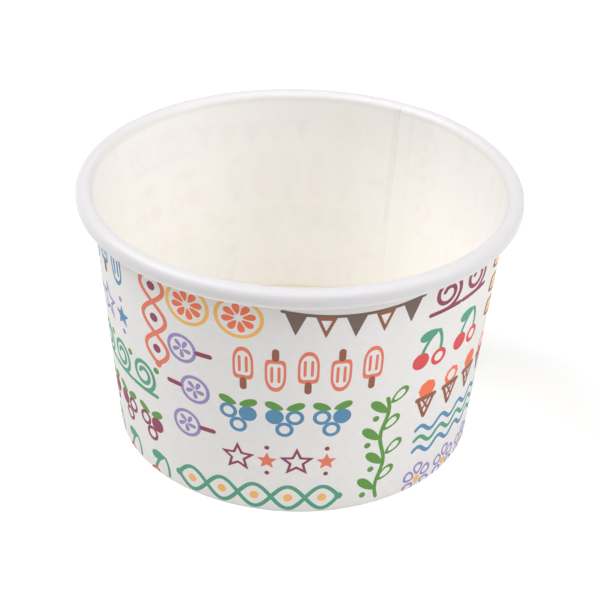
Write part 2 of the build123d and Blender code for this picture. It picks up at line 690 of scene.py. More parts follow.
class NodeSheet:
    """A material's node tree, with short calls that add and join its nodes."""

    def __init__(self, name: str) -> None:
        """Start a material with a Principled shader and Object coordinates.

        Args:
            name: the material's name.
        """
        self.material = bpy.data.materials.new(name)
        self.material.use_nodes = True
        self.nodes = self.material.node_tree.nodes
        self.links = self.material.node_tree.links
        self.shader = self.nodes["Principled BSDF"]
        self.place = self.nodes.new("ShaderNodeTexCoord").outputs["Object"]

    def noise(self, size_mm: float, detail: float, stretch: float = 1.0) -> Socket:
        """Noise with features of a given size.

        Args:
            size_mm: size of a feature.
            detail: octaves added to it.
            stretch: how many times longer the features are along Z.

        Returns:
            Its value, about 0.5 on average.
        """
        scale = self.nodes.new("ShaderNodeMapping")
        scale.inputs["Scale"].default_value = (1.0, 1.0, 1.0 / stretch)
        self.links.new(self.place, scale.inputs["Vector"])
        noise = self.nodes.new("ShaderNodeTexNoise")
        noise.inputs["Scale"].default_value = 1.0 / (size_mm * MM)
        noise.inputs["Detail"].default_value = detail
        self.links.new(scale.outputs["Vector"], noise.inputs["Vector"])
        return noise.outputs["Fac"]

    def ramp(self, value: Socket, low: float, high: float, start: float, end: float,
             smooth: bool = False) -> Socket:
        """Value from low to high carried to a range from start to end, held at both ends.

        Args:
            value: the socket to carry.
            low: where the range starts.
            high: where it ends.
            start: result at low.
            end: result at high.
            smooth: whether it leaves and arrives level.

        Returns:
            The new value.
        """
        node = self.nodes.new("ShaderNodeMapRange")
        node.interpolation_type = "SMOOTHSTEP" if smooth else "LINEAR"
        for slot, number in zip(("From Min", "From Max", "To Min", "To Max"), (low, high, start, end)):
            node.inputs[slot].default_value = number
        self.links.new(value, node.inputs["Value"])
        return node.outputs["Result"]

    def blend(self, factor: Socket, first: Colour | Socket, second: Colour | Socket) -> Socket:
        """Mix of two colours.

        Args:
            factor: 0 for the first, 1 for the second.
            first: a colour, or the socket that gives it.
            second: a colour, or the socket that gives it.

        Returns:
            The mixed colour.
        """
        node = self.nodes.new("ShaderNodeMix")
        node.data_type = "RGBA"
        self.links.new(factor, node.inputs["Factor"])
        for slot, colour in ((FIRST, first), (SECOND, second)):
            if isinstance(colour, Socket):
                self.links.new(colour, node.inputs[slot])
            else:
                node.inputs[slot].default_value = colour
        return node.outputs[MIXED]

    def bump(self, height: Socket, depth_mm: float, strength: float,
             under: Socket | None = None) -> Socket:
        """Normal of a surface that rises and falls with a value.

        Args:
            height: the value.
            depth_mm: rise for a value of 1.
            strength: how much of it shows.
            under: the normal that it is added to.

        Returns:
            The new normal.
        """
        node = self.nodes.new("ShaderNodeBump")
        node.inputs["Strength"].default_value = strength
        node.inputs["Distance"].default_value = depth_mm * MM
        self.links.new(height, node.inputs["Height"])
        if under is not None:
            self.links.new(under, node.inputs["Normal"])
        return node.outputs["Normal"]

    def take(self, colour: Socket, amount: Socket) -> Socket:
        """Colour less an amount of red, green and blue.

        Args:
            colour: the colour.
            amount: what is taken from it.

        Returns:
            The darker colour.
        """
        node = self.nodes.new("ShaderNodeMix")
        node.data_type, node.blend_type = "RGBA", "SUBTRACT"
        node.inputs["Factor"].default_value = 1.0
        self.links.new(colour, node.inputs[FIRST])
        self.links.new(amount, node.inputs[SECOND])
        return node.outputs[MIXED]

    def attribute(self, name: str, output: str = "Fac") -> Socket:
        """What the mesh keeps at its points under a name.

        Args:
            name: the attribute's name.
            output: Fac for a number, or Color for three.

        Returns:
            Its value, and 0 where the mesh keeps nothing.
        """
        node = self.nodes.new("ShaderNodeAttribute")
        node.attribute_name = name
        return node.outputs[output]

    def put(self, value: Socket, slot: str) -> None:
        """Join a value to one of the shader's sockets."""
        self.links.new(value, self.shader.inputs[slot])


@dataclass(frozen=True)
class PaperFinish:
    """Uncoated or thinly coated white cupboard.

    Attributes:
        name: the material's name.
        tone: colour of the clean board.
        shade: colour of its fibre clouds.
        rim: colour over the roll; the food side's is darker than its tone, a painted shade of the roll.
        roughness: the surface's roughness at its middle.
        coat: weight of the thin food-side coating, which is thicker over the roll.
        fibre: depth of the fibre texture, in millimetres.
        streak: how many times longer than wide the fibre clouds are.
    """

    name: str
    tone: Chip
    shade: Chip
    rim: Chip
    roughness: float
    coat: float
    fibre: float
    streak: float = 1.0

    def material(self) -> bpy.types.Material:
        """Board with fibre clouds, a few specks, the print behind it, painted shade over the roll, painted
        shade and highlight along the seam, fine tooth and slight waves.

        Returns:
            The new material.
        """
        sheet = NodeSheet(self.name)
        clouds = sheet.ramp(sheet.noise(CLOUD_MM, 3.0, self.streak), 0.35, 0.7, 0.0, 1.0)
        colour = sheet.blend(clouds, linear(self.tone), linear(self.shade))
        # painted shade: the rim's darker colour over the roll, by the mesh's share
        over_roll = sheet.attribute(ROLL_SHADE_AND_COAT)
        colour = sheet.blend(over_roll, colour, linear(self.rim))
        specks = sheet.ramp(sheet.noise(SPECK_MM, 1.0), 0.79, 0.83, 0.0, 0.35)
        colour = sheet.blend(specks, colour, linear(SPECK_BROWN))
        # show-through of the print: partly the ink through the board, partly painted shade
        colour = sheet.take(colour, sheet.attribute(SHOW_THROUGH, "Color"))
        # painted shade and soft dark lines along the seam, then a painted highlight on its cut edge
        seam_light = sheet.attribute(SEAM_PAINTED_LIGHT)
        colour = sheet.blend(seam_light, colour, linear(SEAM_BROWN))
        pale = sheet.ramp(seam_light, 0.0, -1.0, 0.0, 1.0)
        sheet.put(sheet.blend(pale, colour, linear(EDGE_HIGHLIGHT_WHITE)), "Base Color")
        tooth = sheet.noise(TOOTH_MM, 3.0)
        sheet.put(sheet.ramp(tooth, 0.3, 0.7, self.roughness - 0.06, self.roughness + 0.06), "Roughness")
        waves = sheet.bump(sheet.noise(WAVE_MM, 1.0), WAVE_DEPTH_MM, 0.5)
        sheet.put(sheet.bump(tooth, self.fibre, 0.6, waves), "Normal")
        sheet.put(sheet.ramp(over_roll, 0.0, 0.7, self.coat, ROLL_COAT * self.coat), "Coat Weight")
        sheet.shader.inputs["Coat Roughness"].default_value = COAT_ROUGHNESS
        sheet.shader.inputs["Specular IOR Level"].default_value = PAPER_GLOSS
        return sheet.material


@dataclass(frozen=True)
class InkFinish:
    """Printing ink that has soaked a little into the board.

    Attributes:
        name: the material's name.
        tone: colour of a full layer.
        kept: share of its colour that is left over the board's high fibres.
        white: white of the board that is added to it there.
        thick: brightness of the ink where it lies thicker.
    """

    name: str
    tone: Chip
    kept: float = 0.86
    white: float = 0.12
    thick: float = 0.93

    def material(self) -> bpy.types.Material:
        """Ink with a faint mottle, thinner over the board's high fibres.

        Returns:
            The new material.
        """
        sheet = NodeSheet(self.name)
        full = linear(self.tone)
        thin = tuple(self.kept * c + self.white for c in full[:3]) + (1.0,)
        dark = tuple(self.thick * c for c in full[:3]) + (1.0,)
        mottle = sheet.ramp(sheet.noise(MOTTLE_MM, 4.0), 0.4, 0.75, 0.0, 1.0)
        tooth = sheet.noise(TOOTH_MM, 3.0)
        fibres = sheet.ramp(tooth, 0.55, 0.75, 0.0, 0.5)
        sheet.put(sheet.blend(fibres, sheet.blend(mottle, full, dark), thin), "Base Color")
        sheet.put(sheet.ramp(tooth, 0.3, 0.7, 0.55, 0.68), "Roughness")
        sheet.put(sheet.bump(tooth, INK_DEPTH_MM, 0.5), "Normal")
        sheet.shader.inputs["Specular IOR Level"].default_value = PAPER_GLOSS
        return sheet.material


# its rim colour, darker than its tone, is a painted shade over the roll
FOOD_SIDE = PaperFinish(
    "board_food_side", tone=(248, 246, 245), shade=(247, 245, 243), rim=(219, 217, 219),
    roughness=0.52, coat=0.08, fibre=0.015, streak=2.0,
)
# darker and warmer than the wall's board: painted shade at the bottom of the cup
SHADED_BASE_BOARD = PaperFinish(
    "board_base_painted_shade", tone=(234, 226, 206), shade=(231, 222, 200), rim=(234, 226, 206),
    roughness=0.55, coat=0.08, fibre=0.012,
)
PRINTED_SIDE = PaperFinish(
    "board_printed_side", tone=(240, 238, 236), shade=(237, 234, 232), rim=(240, 238, 236),
    roughness=0.72, coat=0.0, fibre=0.026,
)


class Ink(Enum):
    """Inks of the printed design."""

    ORANGE = (247, 122, 80)
    CORAL = (234, 126, 99)
    RED = (221, 80, 83)
    BLUE = (88, 143, 180)
    GREEN = (95, 151, 63)
    SEA_GREEN = (84, 161, 131)
    COCOA = (116, 96, 88)
    BROWN = (150, 92, 70)
    PURPLE = (158, 143, 196)
    PLUM = (144, 64, 90)
    HONEY = (250, 192, 104)

    @property
    def finish(self) -> InkFinish:
        """Finish of this ink."""
        return InkFinish(f"ink_{self.name.lower()}", self.value)


@dataclass(frozen=True)
class Mark:
    """One printed mark, flat: a stroke along a path, or a patch inside an outline.

    Attributes:
        ink: its ink.
        path: n by 2 points along the stroke, or round the patch.
        width: the stroke's width, and 0 for a patch.
        hollow: size of the patch's hole as a share of the patch, and 0 for a full one.
    """

    ink: Ink
    path: Array
    width: float = 0.0
    hollow: float = 0.0

    def inside(self, spots: Array) -> Array:
        """How far places lie inside the mark's edge.

        A stroke's edge is half its width from its path, and a patch's hole counts as outside.

        Args:
            spots: places on the panel, with along and up on the last axis.

        Returns:
            Distance to the edge, negative outside the mark.
        """
        if self.width:
            return self.width / 2 - gap_to(spots, self.path)
        depth = depth_inside(spots, self.path)
        if self.hollow:
            middle = self.path.mean(0)
            hole = middle + self.hollow * (self.path - middle)
            depth = np.minimum(depth, -depth_inside(spots, hole))
        return depth


def ring(x: float, y: float, rx: float, ry: float, lobes: int = 0, depth: float = 0.0,
         square: float | Array = 2.0, count: int = 48) -> Array:
    """Closed outline, round, lobed or squared.

    The radius is that of a superellipse times 1 plus a cosine wave of the lobes.

    Args:
        x: centre along the row.
        y: centre up the wall.
        rx: half width.
        ry: half height.
        lobes: waves round the outline.
        depth: their depth, as a share of the radius.
        square: the superellipse's power, 2 for round, one for all points or one for each.
        count: points round it.

    Returns:
        count by 2 points, without the first one again.
    """
    t = np.arange(count) * 2 * np.pi / count
    radius = (np.abs(np.cos(t)) ** square + np.abs(np.sin(t)) ** square) ** (-1.0 / square)
    radius = radius * (1.0 + depth * np.cos(lobes * t))
    return np.stack([x + rx * radius * np.cos(t), y + ry * radius * np.sin(t)], -1)


def lens(start: tuple[float, float], end: tuple[float, float], width: float, lean: float = 0.0,
         count: int = 28) -> Array:
    """Closed leaf outline between two tips.

    Along it goes half of 1 minus the cosine, across it the sine, fuller at one end by lean.

    Args:
        start: first tip.
        end: second tip.
        width: half width at the middle.
        lean: share by which the far half is fuller.
        count: points round it.

    Returns:
        count by 2 points, without the first one again.
    """
    t = np.arange(count) * 2 * np.pi / count
    along = (1.0 - np.cos(t))[:, None] / 2
    across = (width * np.sin(t) * (1.0 - lean * np.cos(t)))[:, None]
    tip, axis = np.array(start), np.subtract(end, start)
    side = np.array([-axis[1], axis[0]]) / np.hypot(*axis)
    return tip + along * axis + across * side


def corners(*points: tuple[float, float], step: float = 0.22) -> Array:
    """Straight-sided path through points.

    Args:
        points: its corners in order.
        step: distance from one point of the path to the next.

    Returns:
        n by 2 points, from the first corner to the last.
    """
    p = np.array(points, float)
    reach = np.concatenate([[0.0], np.cumsum(np.hypot(*np.diff(p, axis=0).T))])
    s = np.linspace(0.0, reach[-1], max(2, int(reach[-1] / step)))
    return np.stack([np.interp(s, reach, p[:, 0]), np.interp(s, reach, p[:, 1])], -1)


def bow(start: tuple[float, float], pull: tuple[float, float], end: tuple[float, float],
        count: int = 18) -> Array:
    """Curved path: the quadratic Bezier of a start, a pull point and an end."""
    t = np.linspace(0.0, 1.0, count)[:, None]
    return (1 - t) ** 2 * np.array(start) + 2 * t * (1 - t) * np.array(pull) + t**2 * np.array(end)


def spiral(x: float, y: float, outer: float, inner: float, turns: float, start: float) -> Array:
    """Spiral from its outer end inwards: the radius falls evenly with the angle.

    Args:
        x: centre along the row.
        y: centre up the wall.
        outer: radius at its outer end.
        inner: radius at its inner end.
        turns: how often it goes round.
        start: angle of its outer end, in degrees.

    Returns:
        n by 2 points along it, forty to a turn.
    """
    t = np.linspace(0.0, 1.0, int(40 * turns))
    angle = np.radians(start) + 2 * np.pi * turns * t
    radius = outer + (inner - outer) * t
    return np.stack([x + radius * np.cos(angle), y + radius * np.sin(angle)], -1)


class Pattern(Enum):
    """Ornaments that a strip of the design repeats, each with its pitch in millimetres."""

    CHERRIES = ("cherries", 9.6)
    LEAVES = ("leaves", 6.0)
    SCROLLS = ("scrolls", 8.0)
    CONES = ("cones", 6.6)
    TWIST = ("twist", 7.0)
    CITRUS = ("citrus", 9.2)
    STARS = ("stars", 6.6)
    PENNANTS = ("pennants", 4.9)
    LOLLIES = ("lollies", 5.5)
    BERRIES = ("berries", 8.4)
    WAVES = ("waves", 6.4)
    WAFERS = ("wafers", 5.2)
    SUCKERS = ("suckers", 8.2)
    FLOWERS = ("flowers", 8.6)

    @property
    def pitch(self) -> float:
        """Distance from one repeat to the next."""
        return self.value[1]


@dataclass
class Strip:
    """A run of one ornament, eight millimetres tall before it is sized.

    Attributes:
        pattern: the ornament.
        main: its first ink.
        accent: its second ink.
        count: how often it repeats.
        around: middle of the strip along the panel, in millimetres.
        up: middle of the strip up the wall, in millimetres.
        turn: degrees the strip is turned on the sheet.
        size: its scale.
    """

    pattern: Pattern
    main: Ink
    accent: Ink
    count: int
    around: float
    up: float
    turn: float = 0.0
    size: float = 1.0

    def centres(self) -> list[tuple[float, int]]:
        """Middle of each repeat along the strip, with 1 and -1 in turn."""
        pitch = self.pattern.pitch
        return [((i - (self.count - 1) / 2) * pitch, 1 - 2 * (i % 2)) for i in range(self.count)]

    @property
    def half(self) -> float:
        """Half the strip's length."""
        return self.count * self.pattern.pitch / 2

    def marks(self) -> list[Mark]:
        """The strip's marks, sized, turned and set on the panel.

        Returns:
            The marks, in millimetres from the panel's left lower corner.
        """
        draw: dict[Pattern, Callable[[], list[Mark]]] = {
            Pattern.CHERRIES: self.cherries, Pattern.LEAVES: self.leaves,
            Pattern.SCROLLS: self.scrolls, Pattern.CONES: self.cones,
            Pattern.TWIST: self.twist, Pattern.CITRUS: self.citrus,
            Pattern.STARS: self.stars, Pattern.PENNANTS: self.pennants,
            Pattern.LOLLIES: self.lollies, Pattern.BERRIES: self.berries,
            Pattern.WAVES: self.waves, Pattern.WAFERS: self.wafers,
            Pattern.SUCKERS: self.suckers, Pattern.FLOWERS: self.flowers,
        }
        c, n = math.cos(math.radians(self.turn)), math.sin(math.radians(self.turn))
        turn = self.size * np.array([[c, n], [-n, c]])
        shift = np.array([self.around, self.up])
        return [
            Mark(m.ink, m.path @ turn + shift, m.width * self.size, m.hollow)
            for m in draw[self.pattern]()
        ]

    def _line(self, path: Array, width: float, accent: bool = False) -> Mark:
        """A stroke in the strip's first or second ink."""
        return Mark(self.accent if accent else self.main, path, width)

    def _fill(self, path: Array, accent: bool = False, hollow: float = 0.0) -> Mark:
        """A patch in the strip's first or second ink, full or with a hole of its own shape."""
        return Mark(self.accent if accent else self.main, path, 0.0, hollow)

    def cherries(self) -> list[Mark]:
        """Pairs of cherries on bowed stems under a leaf.

        Returns:
            The marks about the strip's middle.
        """
        marks = []
        for x, _ in self.centres():
            marks += [
                self._fill(ring(x - 2.2, -1.7, 1.75, 1.7)),
                self._fill(ring(x + 1.9, -2.2, 1.75, 1.7), hollow=0.56),
                self._line(bow((x - 2.1, -0.2), (x - 1.2, 2.6), (x + 1.0, 3.9)), 0.7, True),
                self._line(bow((x + 2.0, -0.6), (x + 2.4, 1.9), (x + 1.0, 3.9)), 0.7, True),
                self._fill(lens((x + 0.9, 3.7), (x - 3.0, 3.0), 1.05, 0.2), True),
            ]
        return marks

    def leaves(self) -> list[Mark]:
        """A waving stem with leaves to both sides.

        Returns:
            The marks about the strip's middle.
        """
        sway, bend = 0.6, math.pi / self.pattern.pitch
        x = np.linspace(-self.half, self.half, 24 * self.count)
        marks = [self._line(np.stack([x, sway * np.sin(bend * x)], -1), 0.8)]
        for mid, _ in self.centres():
            foot = sway * math.sin(bend * mid)
            marks += [
                self._fill(lens((mid - 0.6, foot + 0.2), (mid + 2.5, foot + 3.7), 0.95, 0.25)),
                self._fill(lens((mid + 1.4, foot - 0.3), (mid + 4.2, foot - 3.6), 1.1, 0.25), hollow=0.62),
                self._fill(ring(mid - 1.5, foot + 2.5, 0.65, 0.65, count=24), True),
            ]
        return marks

    def scrolls(self) -> list[Mark]:
        """Spirals on a base line, with a dot between each two.

        Returns:
            The marks about the strip's middle.
        """
        marks = []
        for x, _ in self.centres():
            curl = spiral(x, 0.5, 3.5, 0.9, 1.75, -90.0)
            lead = corners((x - 4.0, -3.0), (x - 0.3, -3.0))
            tail = corners((x, -3.0), (x + 4.0, -3.0))
            marks += [
                self._line(np.concatenate([lead, curl]), 0.85),
                self._line(tail, 0.85),
                self._fill(ring(x + 4.0, 3.2, 0.7, 0.7, count=24), True),
            ]
        return marks

    def cones(self) -> list[Mark]:
        """Wafer cones with a scoop, full and hollow in turn.

        Returns:
            The marks about the strip's middle.
        """
        marks = []
        for x, hand in self.centres():
            scoop = ring(x, 2.1, 1.95, 1.85, 8, 0.035)
            sides = corners((-2.0, 0.3), (0.0, -4.2), (2.0, 0.3))
            marks.append(self._fill(scoop, hollow=0.0 if hand > 0 else 0.6))
            for path, width in (
                (sides, 0.7),
                (corners((-2.6, 0.2), (2.6, 0.2)), 1.0),
                (corners((-1.0, 0.2), (0.72, -2.5)), 0.46),
                (corners((1.0, 0.2), (-0.72, -2.5)), 0.46),
            ):
                marks.append(self._line(path + (x, 0.0), width, True))
        return marks

    def twist(self) -> list[Mark]:
        """Two waves crossing, with a bead in each eye and one at each end.

        Returns:
            The marks about the strip's middle.
        """
        half, pitch = self.half, self.pattern.pitch
        x = np.linspace(-half, half, 26 * self.count)
        wave = 2.8 * np.cos(x * np.pi / pitch)
        marks = [
            self._line(np.stack([x, wave], -1), 0.9),
            self._line(np.stack([x, -wave], -1), 0.9),
            self._fill(ring(-half, 0.0, 0.85, 0.85, count=28)),
            self._fill(ring(half, 0.0, 0.85, 0.85, count=28)),
        ]
        for i in range(-self.count // 2, self.count // 2 + 1):
            if abs(pitch * i) < half:
                marks.append(self._fill(ring(pitch * i, 0.0, 0.95, 0.95, count=28), True))
        return marks

    def citrus(self) -> list[Mark]:
        """Round slices with a rind and eight segments.

        Returns:
            The marks about the strip's middle.
        """
        marks = []
        for x, _ in self.centres():
            marks.append(self._fill(ring(x, 0.0, 4.2, 4.2, count=72), hollow=0.84))
            for a in np.radians(np.arange(8) * 45.0 + 11.0):
                way = np.array([math.cos(a), math.sin(a)])
                tip, tail = tuple(0.7 * way + (x, 0)), tuple(2.95 * way + (x, 0))
                marks.append(self._fill(lens(tip, tail, 0.58, 0.5), True))
        return marks

    def stars(self) -> list[Mark]:
        """Five-pointed stars, large and small in turn, with beads.

        Returns:
            The marks about the strip's middle.
        """
        marks = []
        for x, hand in self.centres():
            far, near = (4.1, 1.8) if hand > 0 else (2.4, 1.05)
            t = np.radians(np.arange(11) * 36.0 + 90.0)
            reach = np.where(np.arange(11) % 2 == 0, far, near)
            tips = [(x + r * math.cos(a), r * math.sin(a) - 0.2) for r, a in zip(reach, t)]
            if hand > 0:
                marks.append(self._fill(corners(*tips, step=0.3)[:-1], hollow=0.62))
                continue
            marks += [
                self._fill(corners(*tips, step=0.3)[:-1], True),
                self._fill(ring(x, 3.5, 0.55, 0.55, count=20)),
                self._fill(ring(x, -3.6, 0.55, 0.55, count=20)),
            ]
        return marks

    def pennants(self) -> list[Mark]:
        """Pennants on a sagging string, full and hollow in turn.

        Returns:
            The marks about the strip's middle.
        """
        half, sag, wide = self.half, 1.2, 1.8
        x = np.linspace(-half, half, 14 * self.count)
        marks = [self._line(np.stack([x, 1.6 + sag * (x / half) ** 2], -1), 0.6)]
        for mid, hand in self.centres():
            left, top, right = (1.5 + sag * ((mid + d) / half) ** 2 for d in (-wide, 0.0, wide))
            tips = ((mid - wide, left), (mid, top - 4.4), (mid + wide, right), (mid - wide, left))
            flag = corners(*tips, step=0.3)[:-1]
            marks.append(self._fill(flag, hand < 0, 0.0 if hand > 0 else 0.5))
        return marks

    def lollies(self) -> list[Mark]:
        """Ice lollies on sticks, upright and upside down in turn.

        Returns:
            The marks about the strip's middle.
        """
        marks = []
        round_top = np.where(np.arange(64) < 32, 2.2, 6.0)
        for x, hand in self.centres():
            body = ring(0.0, 1.0, 1.8, 3.4, square=round_top, count=64)
            marks += [
                self._fill(body * (1, hand) + (x, 0.0), hollow=0.76),
                self._line(corners((x - 0.6, hand * -0.9), (x - 0.6, hand * 2.5)), 0.5),
                self._line(corners((x + 0.6, hand * -0.9), (x + 0.6, hand * 2.5)), 0.5),
                self._line(corners((x, hand * -2.1), (x, hand * -4.7)), 1.2, True),
            ]
        return marks

    def berries(self) -> list[Mark]:
        """Clusters of three berries with two leaves.

        Returns:
            The marks about the strip's middle.
        """
        marks = []
        for x, hand in self.centres():
            for bx, by in ((-1.8, 0.5), (1.8, 0.5), (0.0, -2.3)):
                full = hand * bx > 0
                marks.append(self._fill(ring(x + bx, by, 1.65, 1.65), hollow=0.0 if full else 0.58))
            marks += [
                self._fill(lens((x + 0.3, 2.3), (x + 3.5, 3.5), 0.8, 0.2), True),
                self._fill(lens((x - 0.3, 2.3), (x - 3.5, 3.5), 0.8, 0.2), True),
            ]
        return marks

    def waves(self) -> list[Mark]:
        """Three waves, one over the other.

        Returns:
            The marks about the strip's middle.
        """
        x = np.linspace(-self.half, self.half, 24 * self.count)
        wave = np.sin(2 * np.pi * x / self.pattern.pitch)
        return [self._line(np.stack([x, y + wave], -1), 0.9, y == 0.0) for y in (-2.7, 0.0, 2.7)]

    def wafers(self) -> list[Mark]:
        """Rolled wafers with slanting stripes, each turned by 17 degrees.

        Returns:
            The marks about the strip's middle.
        """
        marks = []
        lean = np.array([[0.955, -0.295], [0.295, 0.955]])
        for x, _ in self.centres():
            tube = ring(0.0, 0.0, 1.75, 4.1, square=6.0, count=72) @ lean + (x, 0)
            marks.append(self._fill(tube, hollow=0.74))
            for y in (-2.4, -0.8, 0.8, 2.4):
                stripe = corners((-1.1, y - 0.55), (1.1, y + 0.55)) @ lean + (x, 0)
                marks.append(self._line(stripe, 0.62, True))
        return marks

    def suckers(self) -> list[Mark]:
        """Round sweets with a swirl, on sticks that point up and down in turn.

        Returns:
            The marks about the strip's middle.
        """
        marks = []
        for x, hand in self.centres():
            middle = np.array([x, hand * 1.1])
            marks += [
                self._fill(ring(x, hand * 1.1, 3.0, 3.0, count=56), hollow=0.78),
                self._line(corners((x, hand * -1.55), (x, hand * -4.9)), 0.95, True),
            ]
            for a in np.radians(np.arange(5) * 72.0):
                tip = middle + 0.25 * np.array([math.cos(a), math.sin(a)])
                tail = middle + 1.95 * np.array([math.cos(a + 0.7), math.sin(a + 0.7)])
                marks.append(self._fill(lens(tuple(tip), tuple(tail), 0.4, 0.4)))
        return marks

    def flowers(self) -> list[Mark]:
        """Six-petalled flowers with a beaded middle.

        Returns:
            The marks about the strip's middle.
        """
        marks = []
        for x, _ in self.centres():
            for a in np.radians(np.arange(6) * 60.0 + 30.0):
                way = np.array([math.cos(a), math.sin(a)])
                tip, tail = tuple(1.1 * way + (x, 0)), tuple(4.0 * way + (x, 0))
                marks.append(self._fill(lens(tip, tail, 1.2, 0.35), hollow=0.6))
            marks.append(self._fill(ring(x, 0.0, 0.85, 0.85, count=24), True))
        return marks


def panel() -> list[Strip]:
    """Strips of the design on one panel, which is half a turn of the sheet.

    Returns:
        The strips, with their places in millimetres from the panel's left lower corner.
    """
    return [
        Strip(Pattern.CITRUS, Ink.HONEY, Ink.ORANGE, 2, 11.4, 44.4, 0.0, 1.05),
        Strip(Pattern.SUCKERS, Ink.PURPLE, Ink.PLUM, 3, 6.0, 25.6, 90.0, 1.05),
        Strip(Pattern.TWIST, Ink.SEA_GREEN, Ink.HONEY, 5, 18.6, 3.6, 0.0, 0.96),
        Strip(Pattern.PENNANTS, Ink.COCOA, Ink.BROWN, 5, 36.2, 44.0, 0.0, 1.05),
        Strip(Pattern.LOLLIES, Ink.CORAL, Ink.BROWN, 5, 28.4, 33.6, 0.0, 1.05),
        Strip(Pattern.BERRIES, Ink.BLUE, Ink.GREEN, 3, 24.4, 22.6, 0.0, 1.03),
        Strip(Pattern.STARS, Ink.PLUM, Ink.CORAL, 4, 24.0, 12.6, 0.0, 0.86),
        Strip(Pattern.LEAVES, Ink.GREEN, Ink.GREEN, 4, 43.6, 13.4, 90.0, 1.02),
        Strip(Pattern.SCROLLS, Ink.PLUM, Ink.PURPLE, 2, 58.6, 44.6, 0.0, 1.03),
        Strip(Pattern.CHERRIES, Ink.RED, Ink.SEA_GREEN, 2, 57.6, 33.4, 0.0, 1.08),
        Strip(Pattern.CONES, Ink.ORANGE, Ink.BROWN, 4, 63.2, 22.0, 0.0, 1.05),
        Strip(Pattern.WAVES, Ink.BLUE, Ink.SEA_GREEN, 4, 63.4, 11.8, 0.0, 0.96),
        Strip(Pattern.FLOWERS, Ink.PURPLE, Ink.HONEY, 3, 62.6, 1.8, 0.0, 1.03),
        Strip(Pattern.WAFERS, Ink.BROWN, Ink.HONEY, 4, 75.0, 40.0, 90.0, 1.03),
        Strip(Pattern.LOLLIES, Ink.BLUE, Ink.COCOA, 4, 97.4, 44.6, 0.0, 1.03),
        Strip(Pattern.STARS, Ink.PURPLE, Ink.BLUE, 4, 96.0, 33.4, 0.0, 1.02),
        Strip(Pattern.CITRUS, Ink.ORANGE, Ink.HONEY, 3, 84.2, 13.6, 90.0, 1.03),
        Strip(Pattern.SCROLLS, Ink.SEA_GREEN, Ink.GREEN, 3, 103.4, 22.6, 0.0, 1.03),
        Strip(Pattern.BERRIES, Ink.PLUM, Ink.GREEN, 3, 104.0, 11.8, 0.0, 1.02),
        Strip(Pattern.CHERRIES, Ink.RED, Ink.SEA_GREEN, 3, 105.0, 1.2, 0.0, 1.0),
        Strip(Pattern.TWIST, Ink.CORAL, Ink.PLUM, 3, 116.6, 38.4, 90.0, 0.99),
    ]


